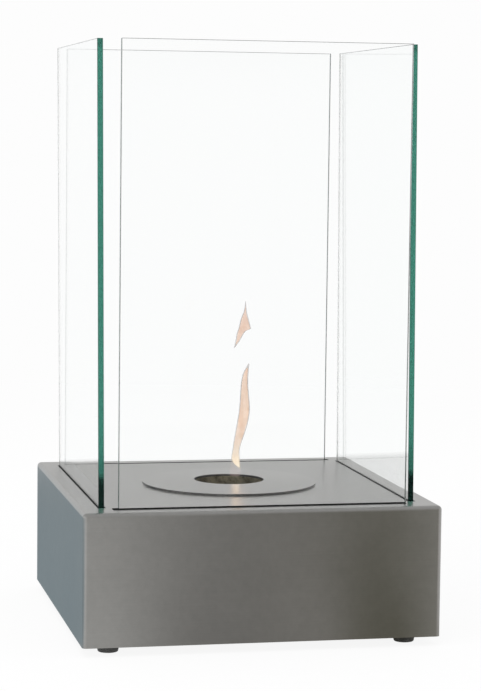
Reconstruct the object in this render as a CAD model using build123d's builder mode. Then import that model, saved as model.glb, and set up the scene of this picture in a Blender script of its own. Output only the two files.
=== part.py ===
from build123d import *
import os
from math import radians, sin, tan

os.makedirs("parts", exist_ok=True)

# A floor-standing ethanol fireplace. A folded steel housing on four rubber feet carries a round
# burner that drops in from above, and four loose glass panes that stand in lined slots around it.
# Millimetres. The origin is on the floor under the middle of the housing, +Z is up, and the
# front faces -Y.

# Housing
HOUSING_SIZE = 380.0  # width and depth over the walls
HOUSING_HEIGHT = 139.0  # walls and deck, without the feet
HOUSING_SHEET = 2.0
HOUSING_BEND = 2.5  # radius inside each fold

# Bottom plate
BOTTOM_PLATE_SHEET = 2.0
BOTTOM_PLATE_PLAY = 0.5  # to the housing's walls, all round
BOTTOM_PLATE_CORNER = 6.0
VENT_LENGTH = 44.0
VENT_WIDTH = 6.0
VENT_PITCH = 62.0  # along a row
VENT_ROW_SPACING = 230.0
VENT_COUNT = 4  # in each of the two rows

# Feet and what holds them
FOOT_HEIGHT = 10.0  # floor to the housing
FOOT_TOP_DIAMETER = 25.5
FOOT_BOTTOM_DIAMETER = 21.0
FOOT_EDGE_RADIUS = 1.2  # round the bottom
FOOT_INSET = 31.0  # foot axis to the housing's outer faces
FOOT_RECESS_DIAMETER = 13.0
SCREW_DIAMETER = 6.0
SCREW_HOLE_PLAY = 0.3  # all round the screw, in plates, washers and feet
SCREW_THREAD_PLAY = 0.1  # all round the screw, in its nut
SCREW_TIP_LENGTH = 2.0  # beyond the nut
SCREW_HEAD_DIAMETER = 10.5
SCREW_HEAD_HEIGHT = 3.0
SCREW_HEAD_EDGE = 1.0
SCREW_HEAD_RELIEF = 1.0  # from the floor up to the head
SOCKET_FLATS = 4.0
SOCKET_DEPTH = 1.8
WASHER_DIAMETER = 12.0
WASHER_THICKNESS = 1.0
NUT_FLATS = 10.0
NUT_HEIGHT = 5.0

# Corner brackets, spot welded to the walls
BRACKET_SIZE = 50.0  # along each wall
BRACKET_HEIGHT = 26.0
BRACKET_SHEET = 2.0
BRACKET_NOTCH = 9.0  # cut back from the housing's corner
BRACKET_BEND = 1.0  # radius inside each fold

# Glass panes
PANE_THICKNESS = 6.0
PANE_ABOVE_DECK = 481.0
PANE_SEAT_DEPTH = 29.0  # how far a pane reaches below the deck
PANE_INSET = 21.2  # housing's outer face to the pane's outer face
PANE_CORNER_GAP = 9.8  # pane's side edge to the next pane's inner face
PANE_ARRIS = 0.3  # ground edge
FRONT_PANE_SET = 2.8  # the front pane stands this far right of its slot's middle
BACK_PANE_SET = 2.0  # the back pane stands this far left of its slot's middle
SIDE_PANE_LEAN = 0.5  # degrees that both side panes lean to the left, in the play of their liners

# Slots in the deck, channels below them and liners in the channels
SLOT_END_PLAY = 3.0  # pane's side edge to the end of its slot
LINER_WALL = 0.8
LINER_FLOOR = 2.0
FRONT_LINER_LIP = 0.8  # front liner's lips above the deck's top
SIDE_LINER_LIP = 0.3  # left and right liner's lips above the deck's top
BACK_LINER_LIP = 0.0  # back liner's lips above the deck's top
GLASS_PLAY = 0.3  # upright pane to liner, on each face
CHANNEL_SHEET = 1.5
CHANNEL_FLANGE = 4.0

# Cover plate of the burner, with the flame opening. It is dished, and only its rim lies on the deck.
PLATE_DIAMETER = 192.0
PLATE_SHEET = 2.5
PLATE_RISE = 2.0  # from the rim to the flame opening
PLATE_EDGE = 0.3
MOUTH_DIAMETER = 77.0
NECK_SHEET = 1.2
NECK_DEPTH = 12.0  # below the plate
CENTRING_SHEET = 1.2
CENTRING_DEPTH = 6.5  # below the plate
CENTRING_PLAY = 0.8  # to the tank's wall

# Burner and its seat in the deck
PLATE_OVERHANG = 8.0  # plate's rim beyond the recess
SEAT_WIDTH = 8.0  # ledge that the burner's flange lies on
FLANGE_PLAY = 1.0  # flange's rim to the recess's wall
BURNER_PLAY = 0.8  # tank to the opening in the deck
GASKET_THICKNESS = 0.8
GASKET_SET_BACK = 1.0  # gasket's inner edge to the ledge's inner edge
TANK_SHEET = 1.2
FLANGE_SHEET = 1.2
TANK_DEPTH = 77.0
TANK_CORNER = 8.0  # outer radius round the floor
WOOL_PLAY = 0.5
HEADROOM = 20.0  # screen's top below the deck's top
SCREEN_SHEET = 1.0
SCREEN_PLAY = 0.5
SCREEN_HOLE_DIAMETER = 6.0
SCREEN_HOLE_PITCH = 9.5
SCREEN_BORDER = 5.0  # at least this much stays solid outside the holes
RING_WIRE = 2.4  # wire of the snap ring
RING_PLAY = 0.3
RING_OPENING = 30.0  # degrees left open

# Heights
housing_bottom = FOOT_HEIGHT
bottom_plate_top = housing_bottom + BOTTOM_PLATE_SHEET
bracket_top = bottom_plate_top + BRACKET_SHEET
deck_top = housing_bottom + HOUSING_HEIGHT
deck_underside = deck_top - HOUSING_SHEET
pane_bottom = deck_top - PANE_SEAT_DEPTH
channel_floor_top = pane_bottom - LINER_FLOOR
tank_bottom = deck_top - TANK_DEPTH
tank_floor_top = tank_bottom + TANK_SHEET
screen_top = deck_top - HEADROOM
wool_top = screen_top - SCREEN_SHEET
recess_depth = FLANGE_SHEET + GASKET_THICKNESS
seat_top = deck_top - recess_depth

# Plan sizes
wall_inside = HOUSING_SIZE / 2 - HOUSING_SHEET
housing_corner = HOUSING_BEND + HOUSING_SHEET
foot_spacing = HOUSING_SIZE - 2 * FOOT_INSET
screw_hole_radius = SCREW_DIAMETER / 2 + SCREW_HOLE_PLAY
pane_offset = HOUSING_SIZE / 2 - PANE_INSET - PANE_THICKNESS / 2
pane_width = 2 * (pane_offset - PANE_THICKNESS / 2 - PANE_CORNER_GAP)
pane_height = PANE_ABOVE_DECK + PANE_SEAT_DEPTH
slot_length = pane_width + 2 * SLOT_END_PLAY
slot_width = PANE_THICKNESS + 2 * (GLASS_PLAY + LINER_WALL)
mouth_radius = MOUTH_DIAMETER / 2
plate_radius = PLATE_DIAMETER / 2
recess_radius = plate_radius - PLATE_OVERHANG
flange_radius = recess_radius - FLANGE_PLAY
opening_radius = recess_radius - SEAT_WIDTH
tank_radius = opening_radius - BURNER_PLAY
tank_bore = tank_radius - TANK_SHEET
screen_radius = tank_bore - SCREEN_PLAY
screen_room = screen_radius - SCREEN_BORDER - SCREEN_HOLE_DIAMETER / 2
screen_rings = int(screen_room // SCREEN_HOLE_PITCH)  # of holes, around the middle one

# The front (-Y) and the corner at the back right are where the turns start.
SIDES = {"front": 0, "right": 90, "back": 180, "left": 270}
CORNERS = {"back_right": 0, "back_left": 90, "front_left": 180, "front_right": 270}
PANE_SETS = {"front": FRONT_PANE_SET, "back": BACK_PANE_SET}  # clockwise along the slots, from above
PANE_LEANS = {"right": SIDE_PANE_LEAN, "left": -SIDE_PANE_LEAN}  # positive leans inwards
LINER_LIPS = {
    "front": FRONT_LINER_LIP,
    "right": SIDE_LINER_LIP,
    "back": BACK_LINER_LIP,
    "left": SIDE_LINER_LIP,
}
UP = Vector(0, 0, 1)
BOTTOM_ALIGN = (Align.CENTER, Align.MIN)


def section_across(turn):
    """The upright plane across the middle of a pane: x outwards from the pane's middle, y up."""
    outward = Vector(0, -1, 0).rotate(Axis.Z, turn)
    return Plane(origin=outward * pane_offset, x_dir=outward, z_dir=outward.cross(UP))


def corner_plane(turn, height):
    """A level plane whose first quadrant holds the corner."""
    return Plane.XY.rotated((0, 0, turn)).offset(height)


def plate_underside(radius):
    """Height of the dished cover plate's underside at a radius."""
    return deck_top + PLATE_RISE * (plate_radius - radius) / (plate_radius - mouth_radius)


def foot_places():
    """The four foot axes."""
    return GridLocations(foot_spacing, foot_spacing, 2, 2)


def save(piece, label):
    """Label a finished piece and write it as one STEP file."""
    piece.part.label = label
    export_step(piece.part, f"parts/{label}.step")


# ---- Housing: walls and deck from one sheet, slots for the glass and a recess for the burner
with BuildPart() as housing:
    with BuildSketch(Plane.XY.offset(housing_bottom)):
        RectangleRounded(HOUSING_SIZE, HOUSING_SIZE, housing_corner)
    extrude(amount=HOUSING_HEIGHT)
    fillet(housing.faces().sort_by(Axis.Z)[-1].edges(), housing_corner)
    offset(amount=-HOUSING_SHEET, openings=housing.faces().sort_by(Axis.Z)[0])
    # Pressed ledge under the burner's flange
    with BuildSketch(Plane.XY.offset(seat_top - HOUSING_SHEET)):
        Circle(recess_radius + HOUSING_SHEET)
    extrude(amount=recess_depth)
    with BuildSketch(Plane.XY.offset(seat_top)):
        Circle(recess_radius)
    extrude(amount=recess_depth, mode=Mode.SUBTRACT)
    with BuildSketch(Plane.XY.offset(seat_top)):
        Circle(opening_radius)
    extrude(amount=-HOUSING_SHEET, mode=Mode.SUBTRACT)
    # One slot for each pane
    with BuildSketch(Plane.XY.offset(deck_top)):
        with PolarLocations(pane_offset, len(SIDES)):
            Rectangle(slot_width, slot_length)
    extrude(amount=-HOUSING_SHEET, mode=Mode.SUBTRACT)
save(housing, "housing")

# ---- Bottom plate: lies between the walls, clamped between the feet and the brackets
with BuildPart() as bottom_plate:
    plate_side = 2 * (wall_inside - BOTTOM_PLATE_PLAY)
    with BuildSketch(Plane.XY.offset(housing_bottom)):
        RectangleRounded(plate_side, plate_side, BOTTOM_PLATE_CORNER)
        with foot_places():
            Circle(screw_hole_radius, mode=Mode.SUBTRACT)
        with GridLocations(VENT_PITCH, VENT_ROW_SPACING, VENT_COUNT, 2):
            SlotOverall(VENT_LENGTH, VENT_WIDTH, mode=Mode.SUBTRACT)
    extrude(amount=BOTTOM_PLATE_SHEET)
save(bottom_plate, "bottom_plate")

# ---- Corner brackets: a shelf over the bottom plate, folded up along both walls
for corner, turn in CORNERS.items():
    with BuildPart() as corner_bracket:
        inner = wall_inside - BRACKET_SIZE
        with BuildSketch(corner_plane(turn, bottom_plate_top)):
            with Locations((inner, inner)):
                Rectangle(BRACKET_SIZE, BRACKET_SIZE, align=(Align.MIN, Align.MIN))
        extrude(amount=BRACKET_HEIGHT)
        hollow = BRACKET_SIZE - BRACKET_SHEET
        with BuildSketch(corner_plane(turn, bracket_top)):
            with Locations((inner, inner)):
                Rectangle(hollow, hollow, align=(Align.MIN, Align.MIN))
        extrude(amount=BRACKET_HEIGHT, mode=Mode.SUBTRACT)
        # The folds stop short of the housing's corner
        with BuildSketch(corner_plane(turn, bottom_plate_top)):
            with Locations((wall_inside, wall_inside)):
                Rectangle(BRACKET_NOTCH, BRACKET_NOTCH, align=(Align.MAX, Align.MAX))
        extrude(amount=BRACKET_HEIGHT, mode=Mode.SUBTRACT)
        # The shelf's edges by length: two at the notch, the two folds, two free ones
        shelf_edges = corner_bracket.edges().filter_by(Axis.Z, reverse=True).group_by(Axis.Z)[1]
        fillet(shelf_edges.sort_by(Edge.length)[2:4], BRACKET_BEND)
        with BuildSketch(corner_plane(turn, bottom_plate_top)):
            with Locations((foot_spacing / 2, foot_spacing / 2)):
                Circle(screw_hole_radius)
        extrude(amount=BRACKET_SHEET, mode=Mode.SUBTRACT)
    save(corner_bracket, f"corner_bracket_{corner}")

# ---- Weld nuts on the brackets
with BuildPart() as bracket_nuts:
    with BuildSketch(Plane.XY.offset(bracket_top)):
        with foot_places():
            RegularPolygon(NUT_FLATS / 2, 6, major_radius=False)
            Circle(SCREW_DIAMETER / 2 + SCREW_THREAD_PLAY, mode=Mode.SUBTRACT)
    extrude(amount=NUT_HEIGHT)
save(bracket_nuts, "bracket_nuts")

# ---- Rubber feet: tapered, with a recess that hides the screw's head
recess_height = SCREW_HEAD_RELIEF + SCREW_HEAD_HEIGHT + WASHER_THICKNESS
for corner, turn in CORNERS.items():
    with BuildPart() as foot:
        foot_centre = (foot_spacing / 2, foot_spacing / 2)
        with BuildSketch(corner_plane(turn, 0)):
            with Locations(foot_centre):
                Circle(FOOT_BOTTOM_DIAMETER / 2)
        with BuildSketch(corner_plane(turn, FOOT_HEIGHT)):
            with Locations(foot_centre):
                Circle(FOOT_TOP_DIAMETER / 2)
        loft()
        fillet(foot.faces().sort_by(Axis.Z)[0].edges(), FOOT_EDGE_RADIUS)
        with BuildSketch(corner_plane(turn, 0)):
            with Locations(foot_centre):
                Circle(FOOT_RECESS_DIAMETER / 2)
        extrude(amount=recess_height, mode=Mode.SUBTRACT)
        with BuildSketch(corner_plane(turn, 0)):
            with Locations(foot_centre):
                Circle(screw_hole_radius)
        extrude(amount=FOOT_HEIGHT, mode=Mode.SUBTRACT)
    save(foot, f"foot_{corner}")

# ---- Washers between the screw heads and the rubber
washer_bottom = SCREW_HEAD_RELIEF + SCREW_HEAD_HEIGHT
with BuildPart() as foot_washers:
    with BuildSketch(Plane.XY.offset(washer_bottom)):
        with foot_places():
            Circle(WASHER_DIAMETER / 2)
            Circle(screw_hole_radius, mode=Mode.SUBTRACT)
    extrude(amount=WASHER_THICKNESS)
save(foot_washers, "foot_washers")

# ---- Button-head screws: up through foot, bottom plate and bracket into the weld nuts
screw_top = bracket_top + NUT_HEIGHT + SCREW_TIP_LENGTH
with BuildPart() as foot_screws:
    with BuildSketch(Plane.XY.offset(SCREW_HEAD_RELIEF)):
        with foot_places():
            Circle(SCREW_HEAD_DIAMETER / 2)
    extrude(amount=SCREW_HEAD_HEIGHT)
    fillet(foot_screws.edges().group_by(Axis.Z)[0], SCREW_HEAD_EDGE)
    with BuildSketch(Plane.XY.offset(SCREW_HEAD_RELIEF)):
        with foot_places():
            RegularPolygon(SOCKET_FLATS / 2, 6, major_radius=False)
    extrude(amount=SOCKET_DEPTH, mode=Mode.SUBTRACT)
    with BuildSketch(Plane.XY.offset(washer_bottom)):
        with foot_places():
            Circle(SCREW_DIAMETER / 2)
    extrude(amount=screw_top - washer_bottom)
save(foot_screws, "foot_screws")

# ---- Channels, liners and panes, one of each on every side
for side, turn in SIDES.items():
    section = section_across(turn)

    # Folded channel, its flanges spot welded under the deck
    channel_bottom = channel_floor_top - CHANNEL_SHEET
    with BuildPart() as glass_channel:
        with BuildSketch(section):
            with Locations((0, channel_bottom)):
                trough = slot_width + 2 * CHANNEL_SHEET
                Rectangle(trough, deck_underside - channel_bottom, align=BOTTOM_ALIGN)
            with Locations((0, deck_underside - CHANNEL_SHEET)):
                Rectangle(trough + 2 * CHANNEL_FLANGE, CHANNEL_SHEET, align=BOTTOM_ALIGN)
            with Locations((0, channel_floor_top)):
                bore_height = deck_underside - channel_floor_top
                Rectangle(slot_width, bore_height, align=BOTTOM_ALIGN, mode=Mode.SUBTRACT)
        extrude(amount=slot_length / 2, both=True)
    save(glass_channel, f"glass_channel_{side}")

    # Soft liner: lines the channel and the slot in the deck
    with BuildPart() as channel_liner:
        liner_height = deck_top + LINER_LIPS[side] - channel_floor_top
        with BuildSketch(section):
            with Locations((0, channel_floor_top)):
                Rectangle(slot_width, liner_height, align=BOTTOM_ALIGN)
            with Locations((0, pane_bottom)):
                groove = slot_width - 2 * LINER_WALL
                Rectangle(groove, liner_height, align=BOTTOM_ALIGN, mode=Mode.SUBTRACT)
        extrude(amount=slot_length / 2, both=True)
    save(channel_liner, f"channel_liner_{side}")

    # Toughened glass pane, all its edges ground. Where it leans, it turns about the middle of its
    # seat and stands on one lower edge.
    lean = PANE_LEANS.get(side, 0)
    foot_shift = tan(radians(lean)) * PANE_SEAT_DEPTH / 2
    foot_rise = abs(sin(radians(lean))) * PANE_THICKNESS / 2
    with BuildPart() as glass_pane:
        with BuildSketch(section.offset(-PANE_SETS.get(side, 0))):
            with Locations((foot_shift, pane_bottom + foot_rise)):
                Rectangle(PANE_THICKNESS, pane_height, rotation=lean, align=BOTTOM_ALIGN)
        extrude(amount=pane_width / 2, both=True)
        chamfer(glass_pane.edges(), PANE_ARRIS)
    save(glass_pane, f"glass_pane_{side}")

# ---- Gasket on the ledge
with BuildPart() as seat_gasket:
    with BuildSketch(Plane.XY.offset(seat_top)):
        Circle(flange_radius)
        Circle(opening_radius + GASKET_SET_BACK, mode=Mode.SUBTRACT)
    extrude(amount=GASKET_THICKNESS)
save(seat_gasket, "seat_gasket")

# ---- Burner tank: a pressed pot that ends flush with the deck
with BuildPart() as burner_tank:
    with BuildSketch(Plane.XY.offset(tank_bottom)):
        Circle(tank_radius)
    extrude(amount=TANK_DEPTH)
    fillet(burner_tank.faces().sort_by(Axis.Z)[0].edges(), TANK_CORNER)
    offset(amount=-TANK_SHEET, openings=burner_tank.faces().sort_by(Axis.Z)[-1])
save(burner_tank, "burner_tank")

# ---- Flange welded round the tank's mouth: the burner hangs by it
with BuildPart() as burner_flange:
    with BuildSketch(Plane.XY.offset(deck_top)):
        Circle(flange_radius)
        Circle(tank_radius, mode=Mode.SUBTRACT)
    extrude(amount=-FLANGE_SHEET)
save(burner_flange, "burner_flange")

# ---- Ceramic wool that soaks up the fuel
with BuildPart() as ceramic_wool:
    with BuildSketch(Plane.XY.offset(tank_floor_top)):
        Circle(tank_bore - WOOL_PLAY)
    extrude(amount=wool_top - tank_floor_top)
    fillet(ceramic_wool.faces().sort_by(Axis.Z)[0].edges(), TANK_CORNER)
save(ceramic_wool, "ceramic_wool")

# ---- Perforated screen over the wool, its holes in rings
with BuildPart() as perforated_screen:
    with BuildSketch(Plane.XY.offset(wool_top)):
        Circle(screen_radius)
        Circle(SCREEN_HOLE_DIAMETER / 2, mode=Mode.SUBTRACT)
        for ring in range(1, screen_rings + 1):
            with PolarLocations(ring * SCREEN_HOLE_PITCH, 6 * ring):
                Circle(SCREEN_HOLE_DIAMETER / 2, mode=Mode.SUBTRACT)
    extrude(amount=SCREEN_SHEET)
save(perforated_screen, "perforated_screen")

# ---- Open snap ring that keeps the screen down
with BuildPart() as screen_snap_ring:
    with BuildSketch(Plane.XZ.rotated((0, 0, RING_OPENING / 2))):
        with Locations((tank_bore - RING_PLAY - RING_WIRE / 2, screen_top + RING_WIRE / 2)):
            Circle(RING_WIRE / 2)
    revolve(axis=Axis.Z, revolution_arc=360 - RING_OPENING)
save(screen_snap_ring, "screen_snap_ring")

# ---- Cover plate with the flame opening
with BuildPart() as burner_plate:
    with BuildSketch(Plane.XZ):
        with BuildLine():
            Polyline(
                (plate_radius, deck_top),
                (plate_radius, deck_top + PLATE_SHEET),
                (mouth_radius, deck_top + PLATE_RISE + PLATE_SHEET),
                (mouth_radius, deck_top + PLATE_RISE),
                close=True,
            )
        make_face()
    revolve(axis=Axis.Z)
    # The upper edges of the rim and the opening
    upper_edges = burner_plate.edges().filter_by(GeomType.CIRCLE).sort_by(Axis.Z)[-2:]
    fillet(upper_edges, PLATE_EDGE)
save(burner_plate, "burner_plate")

# ---- Neck under the flame opening
with BuildPart() as neck_collar:
    neck_radius = mouth_radius + NECK_SHEET
    with BuildSketch(Plane.XY.offset(plate_underside(neck_radius))):
        Circle(neck_radius)
        Circle(mouth_radius, mode=Mode.SUBTRACT)
    extrude(amount=-NECK_DEPTH)
save(neck_collar, "neck_collar")

# ---- Ring under the plate that keeps it central in the tank
with BuildPart() as centring_ring:
    ring_radius = tank_bore - CENTRING_PLAY
    with BuildSketch(Plane.XY.offset(plate_underside(ring_radius))):
        Circle(ring_radius)
        Circle(ring_radius - CENTRING_SHEET, mode=Mode.SUBTRACT)
    extrude(amount=-CENTRING_DEPTH)
save(centring_ring, "centring_ring")
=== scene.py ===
"""Looks of the ethanol fireplace: materials, the wool in the burner, the flame, studio and camera.

Metres, in the same frame as the solids: the origin is on the floor under the middle of the
housing, +Z is up and the front faces -Y.
"""

import math

import bmesh
import bpy
from mathutils import Euler, Matrix, Vector, noise


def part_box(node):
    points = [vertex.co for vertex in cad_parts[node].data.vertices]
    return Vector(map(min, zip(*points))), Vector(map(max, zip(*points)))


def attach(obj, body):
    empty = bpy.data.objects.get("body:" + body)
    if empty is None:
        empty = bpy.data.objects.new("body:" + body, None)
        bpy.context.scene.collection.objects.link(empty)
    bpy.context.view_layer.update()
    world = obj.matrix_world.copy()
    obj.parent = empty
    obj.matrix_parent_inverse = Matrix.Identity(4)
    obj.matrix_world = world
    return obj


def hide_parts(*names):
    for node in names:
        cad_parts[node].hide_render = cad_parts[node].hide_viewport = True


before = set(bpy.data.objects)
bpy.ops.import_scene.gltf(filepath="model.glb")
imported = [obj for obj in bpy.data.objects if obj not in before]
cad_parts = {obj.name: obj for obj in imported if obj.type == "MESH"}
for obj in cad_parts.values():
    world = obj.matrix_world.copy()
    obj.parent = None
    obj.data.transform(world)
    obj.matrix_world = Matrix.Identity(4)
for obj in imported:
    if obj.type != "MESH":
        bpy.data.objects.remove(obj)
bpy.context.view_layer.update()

# Camera: the photograph's place and angles, solved from the corners of the housing and the panes
CAMERA_PLACE = (-0.5226, -2.4894, 0.5335)
CAMERA_YAW = 12.117  # degrees to the right of +Y
CAMERA_PITCH = -5.198
CAMERA_ROLL = 0.674
CAMERA_LENS = 120.39  # mm
SENSOR_HEIGHT = 36.0  # mm
CAMERA_NEAREST = 0.05
CAMERA_FARTHEST = 100.0

# Floor, world and lamp
WHITE = 0.982  # of the background
FLOOR_SIZE = 60.0
FLOOR_SQUARES = 8  # along each side
FLOOR_ALBEDO = 0.12  # what of the floor's white depends on the light, near the object
FLOOR_FADE = (0.6, 2.4)  # from the middle outwards, where the floor turns into plain background
AMBIENT = 0.78  # what a white surface gets from the world around it
FLOOR_LIGHT = 0.73  # what a white floor gets from the world and the lamp, beside the object
LAMP_PLACE = (-0.9, -1.2, 2.2)
LAMP_AIM = (0, 0, 0.2)
LAMP_SIZE = 1.8
LAMP_POWER = 14.0  # watts

# Brushed steel
STEEL = (0.47, 0.465, 0.453)
GRAIN_ALONG = 9.0  # cells of the grain to the metre, along it
GRAIN_ACROSS = 1300.0  # and across it
GRAIN_SHADE = 0.06  # how far the grain changes the shade, either way
CLOUD_SHADE = 0.03
MOTTLE_SHADE = 0.035
GRAIN_ROUGHNESS = 0.02  # how far the grain changes the roughness, either way
CLOUD_ROUGHNESS = (-0.01, 0.02)  # what the clouds add to the roughness
GRAIN_GLOSS = 0.75  # from 0, round highlights, to 1, highlights drawn out across the grain
SIDEWAYS = 0.7  # a wall faces left or right where its normal has more than this along X

# Other metals
MILL_STEEL = (0.45, 0.45, 0.44)
FIXING_STEEL = (0.72, 0.73, 0.74)
BURNER_STEEL = (0.55, 0.54, 0.52)
NECK_DARK = (0.21, 0.20, 0.145)
NECK_PALE = (0.52, 0.465, 0.335)
SOOT = (0.06, 0.055, 0.045)

# Glass
GLASS_IOR = 1.5
GLASS_SHINE = (0.15, 0.15, 0.15)  # of a bare pane's mirroring, seen face on
GLASS_BODY = (0.45, 0.78, 0.70)  # colour that the light takes on inside
GLASS_DENSITY = 2.5
GLASS_LIT_EDGE_TINT = (0.095, 0.315, 0.25)  # of the narrow sides that face the front: the glass's own green, made brighter there as painted light
GLASS_SIDE_TINT = (0.11, 0.25, 0.21)  # of the other narrow sides
GLASS_ARRIS_TINT = (0.10, 0.11, 0.11)
GLASS_EDGE_SCATTER = 0.08  # of the light, by the narrow sides that face the front
GLASS_SIDE_SCATTER = 0.65  # and by the other narrow sides
GROUND_ROUGHNESS = (0.12, 0.2)
BROAD_FACE = 0.9  # a broad face has more than this of its normal across the pane,
ARRIS_FACE = 0.3  # an arris more than this, and a narrow side less

# Fibres and flame
STRAND_PACE = 0.12  # how fast a strand's noise changes along it, beside across it

# Wool block
WOOL_SIDE_GAP = 0.0006  # between the block and the space of its solid
WOOL_FOOT_GAP = 0.0004
WOOL_TOP_GAP = 0.0008
WOOL_CORNER = 0.008  # radius of the lower edge
WOOL_SIDES = 120
WOOL_RINGS = 26  # of points on the top
WOOL_STEP = 0.003  # between the rings of points down the side
WOOL_RELIEF = 0.0007  # how far the surface is pressed in, at most
WOOL_LUMPS = 90.0  # to the metre

# The studio's grey seen in reflections, by degrees to the right of straight in front
STUDIO_RING = (
    (-180, (1.00, 1.00, 1.00)),
    (-155, (0.95, 0.97, 0.98)),
    (-140, (0.27, 0.335, 0.37)),
    (-128, (0.27, 0.335, 0.37)),
    (-112, (0.95, 0.95, 0.95)),
    (-68, (0.95, 0.95, 0.95)),
    (-52, (0.76, 0.76, 0.76)),
    (-20, (0.64, 0.64, 0.63)),
    (-9, (0.57, 0.57, 0.56)),
    (-1, (0.30, 0.295, 0.285)),
    (4, (0.26, 0.255, 0.245)),
    (15, (0.29, 0.28, 0.26)),
    (20, (0.125, 0.12, 0.085)),
    (24, (0.115, 0.11, 0.075)),
    (29, (0.38, 0.37, 0.34)),
    (38, (0.58, 0.57, 0.56)),
    (90, (0.75, 0.75, 0.74)),
    (135, (1.00, 1.00, 1.00)),
    (180, (1.00, 1.00, 1.00)),
)
STUDIO_RADIUS = 2.6
STUDIO_HEIGHT = 3.0
STUDIO_SIDES = 96
CARD_LIFT = 0.0004  # the card on the floor lies this far above it

# In front the greys fan out from the camera's image in the front face, which so shows them upright.
FAN_PLACE = (-0.52, 2.11)
FAN_MIDDLE = 10.9  # degrees in the fan that count as straight in front
FAN_SPREAD = 4.5  # degrees of the ring for each degree in the fan
FAN_CENTRE = 10.0  # the fan's own middle and half its width, in degrees of the ring
FAN_HALF = 30.0

# Cards over the ring's greys. A pair is the soft edge of a card, from where to where it fades.
STUDIO_TOP = (0.52, 0.52, 0.52)  # the ceiling
TOP_EDGE = (0.45, 2.2)  # heights
TOP_FADE = (0.0, 1.0)  # along Y, where the ceiling's grey on the wall weakens
TOP_BEHIND = 0.75  # to this share
STUDIO_BESIDE = (0.33, 0.405, 0.445)  # on the ground close by, to the left
BESIDE_END = (0.8, 1.0)  # distances from the middle
BESIDE_TURN = (-60, -45)  # degrees
BESIDE_FURTHER = 0.4  # how much further it reaches at the back, where the metal shows it
BACK_LEFT = (-0.3, -0.2)  # along X
STUDIO_BEHIND = (0.42, 0.42, 0.41)  # on the ground behind the object, as far as the panes mirror it
BEHIND_START = (0.75, 0.9)  # along Y
BEHIND_END = (1.25, 1.5)

# What of the cards shows past a pane or in one: the ground near the object and the upper wall
NEAR_FRONT = (-0.9, -0.8)  # along Y
NEAR_BACK = (1.17, 1.23)
HIGH_START = (0.6, 0.8)  # heights

# Flame: height over the floor, then its left and right edge across the view, all in mm
FLAME_TONGUE = (
    (164.5, 12.3, 12.7), (166.5, 9.6, 12.7), (169.0, 6.2, 12.6), (172.5, 3.0, 12.3),
    (177.0, 1.9, 12.0), (183.0, 3.0, 11.3), (190.0, 4.0, 12.5), (198.5, 5.1, 15.2),
    (207.0, 6.5, 18.2), (216.0, 8.0, 20.7), (226.0, 9.6, 22.5), (236.0, 10.6, 22.6),
    (247.0, 11.3, 21.4), (259.0, 11.7, 20.3), (266.0, 12.7, 20.2), (272.0, 14.2, 20.4),
    (278.0, 17.5, 20.9), (283.0, 20.4, 21.2),
)
FLAME_TUFT = (
    (299.0, 3.8, 4.5), (303.0, 4.6, 7.4), (307.0, 5.6, 10.3), (311.0, 6.0, 12.5),
    (315.0, 6.4, 14.6), (319.3, 7.8, 17.5), (320.2, 8.1, 23.6), (323.5, 9.1, 22.4),
    (328.0, 10.0, 21.0), (332.0, 10.9, 20.0), (336.5, 12.8, 18.6), (341.0, 14.6, 17.6),
    (346.0, 15.4, 17.1), (352.0, 16.1, 16.5),
)
FLAME_STEM = (
    (156.0, 1.0, 12.5), (160.0, 0.0, 13.5), (168.0, 1.0, 13.0), (178.0, 2.5, 11.8),
    (184.0, 5.0, 10.0),
)
FLAME_MANTLE = 1.1  # mm between the core and the flame's outside
CORE_FOOT = 1.5  # the core starts this many times the mantle over the flame's foot
CORE_TIP = 4.0  # and ends this many times the mantle under its tip
FLAME_LEAST = 0.15  # mm, half the width at the thinnest
FLAME_DEPTH = 0.85  # of the flame's width, along the view
FLAME_SWAY = 1.5  # mm to and fro along the view, so that the sides differ too
FLAME_WAVE = 23.0  # mm of height for each radian of the sway
FLAME_SIDES = 12
FLAME_GLARE = 2.0  # how much brighter the flame is in the steel than to the eye
MM_IN_METRE = 1000.0

# Flame colours by height, in mm
MANTLE_COLOURS = (
    (165, (1.0, 0.88, 0.66)), (176, (0.85, 0.70, 0.52)), (186, (0.30, 0.22, 0.16)),
    (350, (0.30, 0.26, 0.26)),
)
CORE_COLOURS = (
    (165, (1.0, 0.90, 0.70)), (173, (1.0, 0.88, 0.68)), (181, (0.90, 0.76, 0.60)),
    (196, (0.92, 0.72, 0.58)), (215, (1.0, 0.75, 0.59)), (245, (1.0, 0.77, 0.61)),
    (350, (0.97, 0.74, 0.61)),
)
STEM_COLOURS = ((156, (1.0, 0.72, 0.68)), (184, (1.0, 0.8, 0.75)))
CORE_STREAK = (0.90, 0.80, 0.74)  # tint of the core's strands


# ---- Node helpers


def put(tree, socket, value):
    """Links a socket to another node's output, or sets it to a plain value."""
    if isinstance(value, bpy.types.NodeSocket):
        tree.links.new(value, socket)
    else:
        socket.default_value = value


def math_node(tree, operation, *values):
    node = tree.nodes.new("ShaderNodeMath")
    node.operation = operation
    for socket, value in zip(node.inputs, values):
        put(tree, socket, value)
    return node.outputs["Value"]


def product(tree, first, *factors):
    for factor in factors:
        first = math_node(tree, "MULTIPLY", first, factor)
    return first


def rest_of(tree, share):
    """What is left of 1."""
    return math_node(tree, "SUBTRACT", 1.0, share)


def ramp(tree, value, low, high, to_low=0.0, to_high=1.0, smooth=False):
    """value between low and high, mapped to between to_low and to_high and held there."""
    node = tree.nodes.new("ShaderNodeMapRange")
    node.interpolation_type = "SMOOTHSTEP" if smooth else "LINEAR"
    for name, number in (("From Min", low), ("From Max", high), ("To Min", to_low), ("To Max", to_high)):
        node.inputs[name].default_value = number
    put(tree, node.inputs["Value"], value)
    return node.outputs["Result"]


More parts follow.
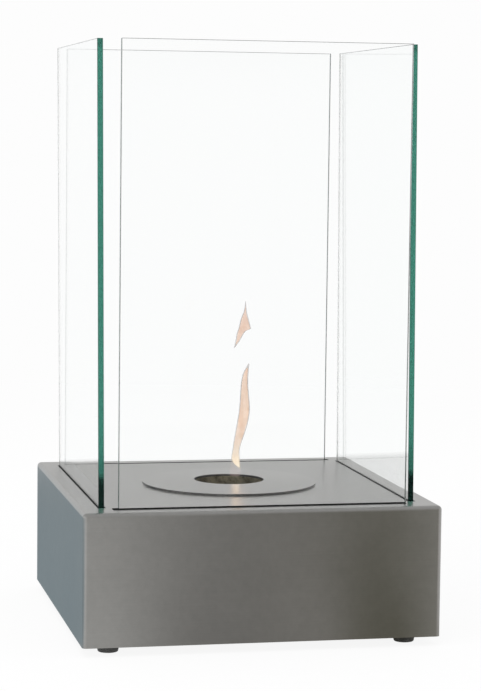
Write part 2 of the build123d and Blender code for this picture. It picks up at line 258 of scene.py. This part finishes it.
def spread(tree, pattern, low=0.0, high=1.0):
    """A noise's usual values, 0.3 to 0.7, mapped to between low and high."""
    return ramp(tree, pattern, 0.3, 0.7, low, high)


def mix_colour(tree, factor, first, second, blend="MIX"):
    node = tree.nodes.new("ShaderNodeMix")
    node.data_type = "RGBA"
    node.blend_type = blend
    put(tree, node.inputs["Factor"], factor)
    for name, value in (("A", first), ("B", second)):
        socket = next(s for s in node.inputs if s.name == name and s.type == "RGBA")
        put(tree, socket, value if isinstance(value, bpy.types.NodeSocket) else (*value, 1))
    return next(s for s in node.outputs if s.type == "RGBA")


def colour_stops(tree, value, stops):
    """A colour for a number. stops are (number, colour) in rising order, with even blends between."""
    first, last = stops[0][0], stops[-1][0]
    node = tree.nodes.new("ShaderNodeValToRGB")
    put(tree, node.inputs["Fac"], ramp(tree, value, first, last))
    elements = node.color_ramp.elements
    for number, colour in stops[1:-1]:
        elements.new((number - first) / (last - first)).color = (*colour, 1)
    elements[0].color = (*stops[0][1], 1)
    elements[-1].color = (*stops[-1][1], 1)
    return node.outputs["Color"]


def noise_node(tree, vector, scale, detail=3.0, roughness=0.5, distortion=0.0):
    node = tree.nodes.new("ShaderNodeTexNoise")
    put(tree, node.inputs["Vector"], vector)
    node.inputs["Scale"].default_value = scale
    node.inputs["Detail"].default_value = detail
    node.inputs["Roughness"].default_value = roughness
    node.inputs["Distortion"].default_value = distortion
    return node.outputs["Fac"]


def object_place(tree):
    return tree.nodes.new("ShaderNodeTexCoord").outputs["Object"]


def object_normal(tree):
    return tree.nodes.new("ShaderNodeTexCoord").outputs["Normal"]


def parts_of(tree, vector):
    node = tree.nodes.new("ShaderNodeSeparateXYZ")
    put(tree, node.inputs["Vector"], vector)
    return node.outputs["X"], node.outputs["Y"], node.outputs["Z"]


def vector_of(tree, x, y, z):
    node = tree.nodes.new("ShaderNodeCombineXYZ")
    for name, value in (("X", x), ("Y", y), ("Z", z)):
        put(tree, node.inputs[name], value)
    return node.outputs["Vector"]


def bump(tree, height, depth, strength):
    """Surface relief: depth is how far, in metres, height 1 stands above height 0."""
    node = tree.nodes.new("ShaderNodeBump")
    node.inputs["Strength"].default_value = strength
    node.inputs["Distance"].default_value = depth
    put(tree, node.inputs["Height"], height)
    return node.outputs["Normal"]


def new_material(name):
    """An empty material with one Principled shader on its output."""
    material = bpy.data.materials.new(name)
    material.use_nodes = True
    tree = material.node_tree
    tree.nodes.clear()
    output = tree.nodes.new("ShaderNodeOutputMaterial")
    shader = tree.nodes.new("ShaderNodeBsdfPrincipled")
    tree.links.new(shader.outputs["BSDF"], output.inputs["Surface"])
    return material, tree, shader


def glowing_material(name):
    """An empty material that glows and lets light through.

    Gives the material, its tree, the node of the glow and the socket for the glow's share.
    """
    material = bpy.data.materials.new(name)
    material.use_nodes = True
    tree = material.node_tree
    tree.nodes.clear()
    glow = tree.nodes.new("ShaderNodeEmission")
    clear = tree.nodes.new("ShaderNodeBsdfTransparent")
    mixed = tree.nodes.new("ShaderNodeMixShader")
    output = tree.nodes.new("ShaderNodeOutputMaterial")
    tree.links.new(clear.outputs[0], mixed.inputs[1])
    tree.links.new(glow.outputs[0], mixed.inputs[2])
    tree.links.new(mixed.outputs[0], output.inputs["Surface"])
    material.cycles.emission_sampling = "NONE"
    return material, tree, glow, mixed.inputs[0]


def new_object(name, mesh, material):
    data = bpy.data.meshes.new(name)
    mesh.to_mesh(data)
    mesh.free()
    item = bpy.data.objects.new(name, data)
    bpy.context.scene.collection.objects.link(item)
    data.materials.append(material)
    return item


# ---- Materials


def brushed_steel(name, colour, roughness, grain_turn=0.0, folded=False, painted_edge_shade=1.0):
    """Ground sheet. The grain runs along X, turned by grain_turn, and follows the sheet over its folds.

    The last argument is painted shade: how pale upright edges, such as the sheet's cut rim, are beside its
    level ground face.
    """
    material, tree, shader = new_material(name)
    turned = tree.nodes.new("ShaderNodeVectorRotate")
    turned.rotation_type = "Z_AXIS"
    turned.inputs["Angle"].default_value = grain_turn
    put(tree, turned.inputs["Vector"], object_place(tree))
    x, y, z = parts_of(tree, turned.outputs["Vector"])
    grain_line = vector_of(tree, math.cos(grain_turn), -math.sin(grain_turn), 0.0)
    upright_pace = GRAIN_ACROSS
    if folded:
        # On the walls that face left and right the sheet's X direction has turned upright.
        side = math_node(tree, "ABSOLUTE", parts_of(tree, object_normal(tree))[0])
        upright_pace = ramp(tree, side, SIDEWAYS - 0.1, SIDEWAYS + 0.1, GRAIN_ACROSS, GRAIN_ALONG)
        upright = math_node(tree, "GREATER_THAN", side, SIDEWAYS)
        grain_line = vector_of(tree, rest_of(tree, upright), 0.0, upright)
    stretched = vector_of(
        tree, product(tree, x, GRAIN_ALONG), product(tree, y, GRAIN_ACROSS), product(tree, z, upright_pace)
    )
    grain = noise_node(tree, stretched, 1.0, detail=2.0, roughness=0.6)
    cloud = noise_node(tree, object_place(tree), 14.0, roughness=0.55)
    mottle = noise_node(tree, object_place(tree), 150.0, roughness=0.6)

    # Painted shade: upright faces, such as the cover's cut rim, are darkened by the last argument.
    level = math_node(tree, "ABSOLUTE", parts_of(tree, object_normal(tree))[2])  # 0 on an upright cut edge
    shade = product(
        tree,
        math_node(tree, "MULTIPLY_ADD", grain, 2 * GRAIN_SHADE, 1 - GRAIN_SHADE),
        spread(tree, cloud, 1 - CLOUD_SHADE, 1 + CLOUD_SHADE),
        spread(tree, mottle, 1 - MOTTLE_SHADE, 1 + MOTTLE_SHADE),
        ramp(tree, level, 0.2, 0.6, painted_edge_shade, 1.0),
    )
    tinted = tree.nodes.new("ShaderNodeVectorMath")
    tinted.operation = "SCALE"
    tinted.inputs[0].default_value = colour
    put(tree, tinted.inputs["Scale"], shade)
    put(tree, shader.inputs["Base Color"], tinted.outputs["Vector"])
    rough = math_node(tree, "MULTIPLY_ADD", grain, 2 * GRAIN_ROUGHNESS, roughness - GRAIN_ROUGHNESS)
    rough = math_node(tree, "ADD", rough, spread(tree, cloud, *CLOUD_ROUGHNESS))
    put(tree, shader.inputs["Roughness"], rough)
    shader.inputs["Metallic"].default_value = 1.0
    shader.inputs["Anisotropic"].default_value = GRAIN_GLOSS
    shader.inputs["Anisotropic Rotation"].default_value = 0.25  # a quarter turn, so across the grain
    put(tree, shader.inputs["Tangent"], grain_line)
    return material


def plain_steel(name, colour, roughness, stain=None):
    """Cold-rolled sheet without grain. stain is a colour that lies on it in patches."""
    material, tree, shader = new_material(name)
    place = object_place(tree)
    fine = noise_node(tree, place, 900.0)
    cloud = noise_node(tree, place, 35.0, detail=4.0, roughness=0.6)
    darker = [c * 0.94 for c in colour]
    base = mix_colour(tree, spread(tree, cloud), darker, colour)
    if stain:
        patches = noise_node(tree, place, 22.0, detail=5.0, roughness=0.6, distortion=0.6)
        base = mix_colour(tree, ramp(tree, patches, 0.42, 0.72), base, stain)
    put(tree, shader.inputs["Base Color"], base)
    put(tree, shader.inputs["Roughness"], spread(tree, cloud, roughness - 0.05, roughness + 0.05))
    put(tree, shader.inputs["Normal"], bump(tree, fine, depth=0.00001, strength=0.4))
    shader.inputs["Metallic"].default_value = 1.0
    return material


def heat_tinted_steel():
    """The neck of the burner: darkened olive and brown by the flame, with sooty specks."""
    material, tree, shader = new_material("heat_tinted_steel")
    place = object_place(tree)
    patches = noise_node(tree, place, 60.0, detail=5.0, roughness=0.65, distortion=0.8)
    specks = noise_node(tree, place, 420.0, roughness=0.6)
    tint = mix_colour(tree, ramp(tree, patches, 0.4, 0.6), NECK_DARK, NECK_PALE)
    tint = mix_colour(tree, ramp(tree, specks, 0.5, 0.75, 0.0, 0.6), tint, SOOT)
    put(tree, shader.inputs["Base Color"], tint)
    put(tree, shader.inputs["Roughness"], spread(tree, patches, 0.35, 0.55))
    put(tree, shader.inputs["Normal"], bump(tree, specks, depth=0.00003, strength=0.4))
    shader.inputs["Metallic"].default_value = 0.85
    return material


def glass(name, axis):
    """Clear float glass with ground narrow sides. axis is the pane's thin direction, 0 for X or 1 for Y."""
    material, tree, shader = new_material(name)
    normal = parts_of(tree, object_normal(tree))
    across = math_node(tree, "ABSOLUTE", normal[axis])
    edge = math_node(tree, "LESS_THAN", across, BROAD_FACE)
    arris = product(tree, edge, math_node(tree, "GREATER_THAN", across, ARRIS_FACE))
    front = math_node(tree, "LESS_THAN", normal[1], -BROAD_FACE)
    # Painted light: the narrow sides that face the front get a brighter green than the other narrow sides.
    tint = mix_colour(tree, front, GLASS_SIDE_TINT, GLASS_LIT_EDGE_TINT)
    tint = mix_colour(tree, edge, (1, 1, 1), tint)
    put(tree, shader.inputs["Base Color"], mix_colour(tree, arris, tint, GLASS_ARRIS_TINT))
    ground = noise_node(tree, object_place(tree), 1500.0, detail=2.0)
    put(tree, shader.inputs["Roughness"], product(tree, edge, spread(tree, ground, *GROUND_ROUGHNESS)))
    shader.inputs["IOR"].default_value = GLASS_IOR
    shader.inputs["Specular Tint"].default_value = (*GLASS_SHINE, 1)
    scatter = product(tree, edge, ramp(tree, front, 0.0, 1.0, GLASS_SIDE_SCATTER, GLASS_EDGE_SCATTER))
    put(tree, shader.inputs["Transmission Weight"], rest_of(tree, scatter))
    volume = tree.nodes.new("ShaderNodeVolumeAbsorption")
    volume.inputs["Color"].default_value = (*GLASS_BODY, 1)
    volume.inputs["Density"].default_value = GLASS_DENSITY
    output = next(n for n in tree.nodes if n.type == "OUTPUT_MATERIAL")
    tree.links.new(volume.outputs["Volume"], output.inputs["Volume"])
    return material


def rubber(name, colour, roughness, dust):
    """Matt rubber with a fine moulded grain; dust is how much paler its worn patches are."""
    material, tree, shader = new_material(name)
    place = object_place(tree)
    fine = noise_node(tree, place, 1600.0)
    patches = noise_node(tree, place, 160.0, detail=4.0, roughness=0.6)
    pale = [c + dust for c in colour]
    put(tree, shader.inputs["Base Color"], mix_colour(tree, ramp(tree, patches, 0.4, 0.75), colour, pale))
    put(tree, shader.inputs["Roughness"], spread(tree, patches, roughness - 0.08, roughness + 0.08))
    put(tree, shader.inputs["Normal"], bump(tree, fine, depth=0.00004, strength=0.6))
    return material


def fibres(name, colour, shade, scale, relief):
    """Matted mineral fibres: long thin noises laid crosswise. shade is the colour between the strands:
    painted shade in the gaps of the mat.
    """
    material, tree, shader = new_material(name)
    x, y, z = parts_of(tree, object_place(tree))
    strands = []
    for turn in range(3):
        angle = math.pi * turn / 3
        along = product(tree, x, math.cos(angle))
        along = math_node(tree, "MULTIPLY_ADD", y, math.sin(angle), along)
        across = product(tree, x, -math.sin(angle))
        across = math_node(tree, "MULTIPLY_ADD", y, math.cos(angle), across)
        stretched = vector_of(tree, product(tree, along, STRAND_PACE), across, z)
        strands.append(noise_node(tree, stretched, scale, roughness=0.6, distortion=0.3))
    felt = math_node(tree, "MAXIMUM", math_node(tree, "MAXIMUM", strands[0], strands[1]), strands[2])
    # Painted shade: the colour falls to shade between the strands.
    put(tree, shader.inputs["Base Color"], mix_colour(tree, ramp(tree, felt, 0.45, 0.75), shade, colour))
    shader.inputs["Roughness"].default_value = 0.95
    shader.inputs["Sheen Weight"].default_value = 0.2
    put(tree, shader.inputs["Normal"], bump(tree, felt, depth=relief, strength=0.8))
    return material


# The housing's one sheet and the burner's cover were ground in different directions.
finishes = {
    "housing": brushed_steel("brushed_stainless", STEEL, 0.305, folded=True),
    # The cover's upright rim is painted darker: painted shade.
    "burner_plate": brushed_steel("brushed_cover", STEEL, 0.30, grain_turn=math.radians(8), painted_edge_shade=0.33),
    "bottom_plate": plain_steel("mill_stainless", MILL_STEEL, 0.38),
    "bracket_nuts": plain_steel("fixing_steel", FIXING_STEEL, 0.26, stain=(0.60, 0.60, 0.55)),
    "burner_tank": plain_steel("burner_stainless", BURNER_STEEL, 0.32, stain=(0.42, 0.36, 0.26)),
    "neck_collar": heat_tinted_steel(),
    "seat_gasket": fibres(
        "fibre_gasket", (0.75, 0.73, 0.68), shade=(0.50, 0.48, 0.43), scale=2200.0, relief=0.0001
    ),
    "foot": rubber("foot_rubber", (0.16, 0.16, 0.158), roughness=0.50, dust=0.10),
    "channel_liner": rubber("liner_rubber", (0.018, 0.018, 0.018), roughness=0.72, dust=0.008),
    # Painted light: a paler copy of the liner rubber, for the right and back slots.
    "dull_liner": rubber("liner_rubber_painted_light", (0.12, 0.12, 0.118), roughness=0.72, dust=0.03),
    "glass_front_back": glass("toughened_glass_y", axis=1),
    "glass_sides": glass("toughened_glass_x", axis=0),
}
same_finish = {
    "corner_bracket": "bottom_plate",
    "glass_channel": "bottom_plate",
    # The right and back liners take the paler rubber: painted light.
    "channel_liner_right": "dull_liner",
    "channel_liner_back": "dull_liner",
    "foot_washers": "bracket_nuts",
    "foot_screws": "bracket_nuts",
    "burner_flange": "burner_tank",
    "perforated_screen": "burner_tank",
    "screen_snap_ring": "burner_tank",
    "centring_ring": "burner_tank",
    "glass_pane_front": "glass_front_back",
    "glass_pane_back": "glass_front_back",
    "glass_pane_left": "glass_sides",
    "glass_pane_right": "glass_sides",
}


def finish_of(node):
    """The material of a solid: the longest name in either table that its name starts with."""
    names = [n for n in (*finishes, *same_finish) if node.startswith(n)]
    best = max(names, key=len)
    return finishes[same_finish.get(best, best)]


for node_name, node_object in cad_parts.items():
    if node_name == "ceramic_wool":
        continue
    node_object.data.materials.clear()
    node_object.data.materials.append(finish_of(node_name))


# ---- The wool block, with a matted surface, in the space of its solid


def wool_profile(radius, bottom, top):
    """(radius, height) from the middle of the top, over the side, to the middle of the underside."""
    profile = [(radius * i / WOOL_RINGS, top) for i in range(WOOL_RINGS + 1)]
    side_rings = int((top - bottom - WOOL_CORNER) / WOOL_STEP)
    profile += [(radius, top - WOOL_STEP * i) for i in range(1, side_rings)]
    for degrees in range(0, 91, 15):
        angle = math.radians(degrees)
        inward, upward = WOOL_CORNER * (1 - math.cos(angle)), WOOL_CORNER * (1 - math.sin(angle))
        profile.append((radius - inward, bottom + upward))
    # The underside, in eighths of the radius
    profile += [(radius * i / 8, bottom) for i in range(6, -1, -1)]
    return profile


def wool_block():
    low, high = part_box("ceramic_wool")
    radius = (high.x - low.x) / 2 - WOOL_SIDE_GAP
    bottom, top = low.z + WOOL_FOOT_GAP, high.z - WOOL_TOP_GAP
    turns = [2 * math.pi * k / WOOL_SIDES for k in range(WOOL_SIDES)]
    mesh = bmesh.new()
    loops = []
    for r, z in wool_profile(radius, bottom, top):
        if r == 0:
            loops.append([mesh.verts.new((0, 0, z))])
        else:
            loops.append([mesh.verts.new((r * math.cos(t), r * math.sin(t), z)) for t in turns])
    for upper, lower in zip(loops, loops[1:]):
        for k in range(WOOL_SIDES):
            corners = [upper[k % len(upper)], lower[k % len(lower)]]
            corners += [lower[(k + 1) % len(lower)], upper[(k + 1) % len(upper)]]
            mesh.faces.new(dict.fromkeys(corners))
    for vertex in mesh.verts:
        place = vertex.co
        outward = Vector((place.x, place.y, 0)) / radius
        if place.z > top - 1e-6:
            outward = Vector((0, 0, 1))
        lumps = noise.fractal(place * WOOL_LUMPS, 1.0, 2.0, 4)
        vertex.co = place - outward * WOOL_RELIEF * (0.5 + 0.5 * lumps)
    bmesh.ops.recalc_face_normals(mesh, faces=mesh.faces)
    wool = fibres("ceramic_wool", (0.88, 0.87, 0.84), shade=(0.70, 0.68, 0.64), scale=1400.0, relief=0.0003)
    piece = new_object("wool_block", mesh, wool)
    for polygon in piece.data.polygons:
        polygon.use_smooth = True
    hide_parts("ceramic_wool")
    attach(piece, "burner")


wool_block()


# ---- Studio: white world and floor, grey cards that only reflections show, one soft lamp, the camera


def looked_at(tree):
    """1 for a ray from the camera, or on from a glossy or clear surface. 0 for one that gathers light."""
    path = tree.nodes.new("ShaderNodeLightPath")
    total = 0.0
    for name in ("Is Camera Ray", "Is Glossy Ray", "Is Transmission Ray"):
        total = math_node(tree, "MAXIMUM", total, path.outputs[name])
    return total


def blurred_reflection(tree):
    """1 for a ray that has just left rough metal, else 0. Clear glass counts as singular."""
    path = tree.nodes.new("ShaderNodeLightPath")
    return product(tree, path.outputs["Is Glossy Ray"], rest_of(tree, path.outputs["Is Singular Ray"]))


def white_world():
    """The background's white where a ray looks at it, and the studio's even light for the rest."""
    world = bpy.data.worlds.new("studio_world")
    bpy.context.scene.world = world
    world.use_nodes = True
    tree = world.node_tree
    tree.nodes.clear()
    background = tree.nodes.new("ShaderNodeBackground")
    background.inputs["Color"].default_value = (1, 1, 1, 1)
    put(tree, background.inputs["Strength"], ramp(tree, looked_at(tree), 0.0, 1.0, AMBIENT, WHITE))
    output = tree.nodes.new("ShaderNodeOutputWorld")
    tree.links.new(background.outputs["Background"], output.inputs["Surface"])
    world.cycles.sampling_method = "NONE"


def floor():
    """Shows the object's shadow close by and plain background further out."""
    material, tree, shader = new_material("floor_white")
    shader.inputs["Roughness"].default_value = 1.0
    shader.inputs["Specular IOR Level"].default_value = 0.0
    shader.inputs["Emission Color"].default_value = (1, 1, 1, 1)
    distance = tree.nodes.new("ShaderNodeVectorMath")
    distance.operation = "LENGTH"
    put(tree, distance.inputs[0], object_place(tree))
    near = ramp(tree, distance.outputs["Value"], *FLOOR_FADE, 1.0, 0.0, smooth=True)
    albedo = product(tree, near, FLOOR_ALBEDO)
    put(tree, shader.inputs["Base Color"], vector_of(tree, albedo, albedo, albedo))
    glow = math_node(tree, "MULTIPLY_ADD", albedo, -FLOOR_LIGHT, WHITE)
    put(tree, shader.inputs["Emission Strength"], product(tree, looked_at(tree), glow))
    material.cycles.emission_sampling = "NONE"
    mesh = bmesh.new()
    bmesh.ops.create_grid(mesh, x_segments=FLOOR_SQUARES, y_segments=FLOOR_SQUARES, size=FLOOR_SIZE / 2)
    new_object("floor", mesh, material)


def ring_degrees(tree, x, y, turn):
    """Where a point of the studio counts in the ring: by its turn or, in the fan, by its slant there."""
    fan_x = math_node(tree, "SUBTRACT", x, FAN_PLACE[0])
    fan_y = math_node(tree, "SUBTRACT", FAN_PLACE[1], y)
    fan = math_node(tree, "DEGREES", math_node(tree, "ARCTAN2", fan_x, fan_y))
    slant = product(tree, math_node(tree, "SUBTRACT", fan, FAN_MIDDLE), FAN_SPREAD)
    off_centre = math_node(tree, "ABSOLUTE", math_node(tree, "SUBTRACT", slant, FAN_CENTRE))
    in_front = math_node(tree, "LESS_THAN", y, 0.0)
    in_fan = product(tree, math_node(tree, "LESS_THAN", off_centre, FAN_HALF), in_front)
    return math_node(tree, "MULTIPLY_ADD", slant, in_fan, product(tree, turn, rest_of(tree, in_fan)))


def card_colour(tree, place, on_ground, blurred):
    """The ring's greys, with a card beside the object and one behind it, and the ceiling's grey above."""
    x, y, z = place
    turn = math_node(tree, "DEGREES", math_node(tree, "ARCTAN2", x, product(tree, y, -1.0)))
    ring = colour_stops(tree, ring_degrees(tree, x, y, turn), STUDIO_RING)

    # To the left the card that the metal shows reaches further back than the one in the panes.
    back_left = product(tree, blurred, ramp(tree, x, *BACK_LEFT, 1.0, 0.0))
    squares = math_node(tree, "ADD", product(tree, x, x), product(tree, y, y))
    reach = math_node(tree, "MULTIPLY_ADD", back_left, -BESIDE_FURTHER, math_node(tree, "SQRT", squares))
    beside = product(
        tree, on_ground, ramp(tree, reach, *BESIDE_END, 1.0, 0.0), ramp(tree, turn, *BESIDE_TURN, 1.0, 0.0)
    )
    behind = product(
        tree,
        on_ground,
        ramp(tree, y, *BEHIND_START),
        ramp(tree, y, *BEHIND_END, 1.0, 0.0),
        rest_of(tree, back_left),
    )
    above = product(tree, ramp(tree, z, *TOP_EDGE, smooth=True), ramp(tree, y, *TOP_FADE, 1.0, TOP_BEHIND))
    ground = mix_colour(tree, behind, mix_colour(tree, beside, ring, STUDIO_BESIDE), STUDIO_BEHIND)
    return mix_colour(tree, above, ground, STUDIO_TOP)


def card_share(tree, place, on_ground, blurred):
    """How much of the cards a ray sees.

    Rough metal sees every card. What left the metal and then passed a pane, or was mirrored by
    a pane, sees only the ground near the object and the upper wall, so that the glass stays clear.
    """
    _, y, z = place
    path = tree.nodes.new("ShaderNodeLightPath")
    mirrored = math_node(tree, "GREATER_THAN", path.outputs["Glossy Depth"], 0.5)
    near = product(tree, on_ground, ramp(tree, y, *NEAR_BACK, 1.0, 0.0), ramp(tree, y, *NEAR_FRONT))
    high = ramp(tree, z, *HIGH_START, smooth=True)
    past_glass = product(tree, math_node(tree, "MAXIMUM", near, high), mirrored)
    return math_node(tree, "MAXIMUM", past_glass, blurred)


def studio_cards():
    """A round room of grey cards: wall, ceiling and a card on the floor, seen in reflections alone."""
    material, tree, glow, share = glowing_material("studio_grey")
    place = parts_of(tree, object_place(tree))
    on_ground = math_node(tree, "LESS_THAN", place[2], 2 * CARD_LIFT)
    blurred = blurred_reflection(tree)
    put(tree, glow.inputs["Color"], card_colour(tree, place, on_ground, blurred))
    put(tree, share, card_share(tree, place, on_ground, blurred))

    mesh = bmesh.new()
    for height in (CARD_LIFT, STUDIO_HEIGHT):
        bmesh.ops.create_circle(
            mesh, cap_ends=True, segments=STUDIO_SIDES, radius=STUDIO_RADIUS,
            matrix=Matrix.Translation((0, 0, height)),
        )
    turns = [2 * math.pi * k / STUDIO_SIDES for k in range(STUDIO_SIDES)]
    rim = [(STUDIO_RADIUS * math.cos(t), STUDIO_RADIUS * math.sin(t)) for t in turns]
    lower = [mesh.verts.new((x, y, CARD_LIFT)) for x, y in rim]
    upper = [mesh.verts.new((x, y, STUDIO_HEIGHT)) for x, y in rim]
    for k in range(STUDIO_SIDES):
        after = (k + 1) % STUDIO_SIDES
        mesh.faces.new((lower[k], lower[after], upper[after], upper[k]))
    cards = new_object("studio_cards", mesh, material)
    cards.visible_camera = False
    cards.visible_diffuse = False
    cards.visible_shadow = False


def lamp():
    data = bpy.data.lights.new("soft_lamp", "AREA")
    data.shape = "SQUARE"
    data.size = LAMP_SIZE
    data.energy = LAMP_POWER
    item = bpy.data.objects.new("soft_lamp", data)
    bpy.context.scene.collection.objects.link(item)
    item.location = LAMP_PLACE
    item.rotation_euler = (Vector(LAMP_PLACE) - Vector(LAMP_AIM)).to_track_quat("Z", "Y").to_euler()
    item.visible_glossy = False
    item.visible_camera = False


def camera():
    data = bpy.data.cameras.new("camera")
    data.sensor_fit = "VERTICAL"
    data.sensor_height = SENSOR_HEIGHT
    data.lens = CAMERA_LENS
    data.clip_start = CAMERA_NEAREST
    data.clip_end = CAMERA_FARTHEST
    item = bpy.data.objects.new("camera", data)
    bpy.context.scene.collection.objects.link(item)
    aim = Euler((math.radians(90 + CAMERA_PITCH), 0, -math.radians(CAMERA_YAW))).to_matrix()
    turned = aim @ Matrix.Rotation(math.radians(CAMERA_ROLL), 3, "Z")
    item.matrix_world = Matrix.Translation(CAMERA_PLACE) @ turned.to_4x4()
    bpy.context.scene.camera = item


# ---- The flame, over the burner's mouth


def flame_material(name, stops, cover, strength, streak=(1, 1, 1)):
    """Lets light through and adds its own. stops are colours by height in mm, streak a tint in strands."""
    material, tree, glow, share = glowing_material(name)
    place = object_place(tree)
    x, y, z = parts_of(tree, place)
    colour = colour_stops(tree, product(tree, z, MM_IN_METRE), stops)
    stretched = vector_of(tree, x, y, product(tree, z, STRAND_PACE))
    strands = ramp(tree, noise_node(tree, stretched, 170.0, detail=2.0, distortion=0.3), 0.42, 0.62)
    put(tree, glow.inputs["Color"], mix_colour(tree, strands, colour, streak, blend="MULTIPLY"))
    glare = ramp(tree, blurred_reflection(tree), 0.0, 1.0, strength, strength * FLAME_GLARE)
    put(tree, glow.inputs["Strength"], glare)
    wisps = noise_node(tree, place, 70.0, detail=2.0)
    put(tree, share, ramp(tree, wisps, 0.35, 0.65, cover * 0.75, cover * 1.25))
    return material


def flame_body(name, outline, inset, material):
    """A closed, smooth body with level elliptic sections, its edges moved in by inset."""
    across = Vector((math.cos(math.radians(CAMERA_YAW)), -math.sin(math.radians(CAMERA_YAW)), 0))
    along = Vector((-across.y, across.x, 0))
    turns = [2 * math.pi * k / FLAME_SIDES for k in range(FLAME_SIDES)]
    bottom, top = outline[0][0] + CORE_FOOT * inset, outline[-1][0] - CORE_TIP * inset
    mesh = bmesh.new()
    rings = []
    for height, left, right in outline:
        if not bottom <= height <= top:
            continue
        half = max((right - left) / 2 - inset, FLAME_LEAST)
        sway = FLAME_SWAY * math.sin(height / FLAME_WAVE)
        centre = across * (left + right) / 2 + along * sway + Vector((0, 0, height))
        ring = []
        for turn in turns:
            point = centre + across * half * math.cos(turn) + along * half * FLAME_DEPTH * math.sin(turn)
            ring.append(mesh.verts.new(point / MM_IN_METRE))
        rings.append(ring)
    for lower, upper in zip(rings, rings[1:]):
        for k in range(FLAME_SIDES):
            after = (k + 1) % FLAME_SIDES
            mesh.faces.new((lower[k], lower[after], upper[after], upper[k]))
    mesh.faces.new(rings[0][::-1])
    mesh.faces.new(rings[-1])
    body = new_object(name, mesh, material)
    smooth = body.modifiers.new("smooth", "SUBSURF")
    smooth.levels = smooth.render_levels = 3
    body.visible_shadow = False
    body.visible_diffuse = False
    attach(body, "burner")


def flame():
    """A faint stem, and a tongue and a loose tuft of fire, each a bright core in a thin darker mantle."""
    mantle = flame_material("flame_mantle", MANTLE_COLOURS, cover=0.3, strength=0.8)
    core = flame_material("flame_core", CORE_COLOURS, cover=0.6, strength=1.25, streak=CORE_STREAK)
    stem = flame_material("flame_stem", STEM_COLOURS, cover=0.05, strength=1.2)
    flame_body("flame_stem", FLAME_STEM, 0.0, stem)
    for part, outline in (("tongue", FLAME_TONGUE), ("tuft", FLAME_TUFT)):
        flame_body(f"flame_{part}_mantle", outline, 0.0, mantle)
        flame_body(f"flame_{part}_core", outline, FLAME_MANTLE, core)


white_world()
floor()
studio_cards()
flame()
lamp()
camera()

scene = bpy.context.scene
scene.view_settings.view_transform = "Standard"
# Light takes many turns inside the panes before it leaves by their edges.
scene.cycles.max_bounces = 24
scene.cycles.glossy_bounces = 20
scene.cycles.transmission_bounces = 20
scene.cycles.transparent_max_bounces = 16
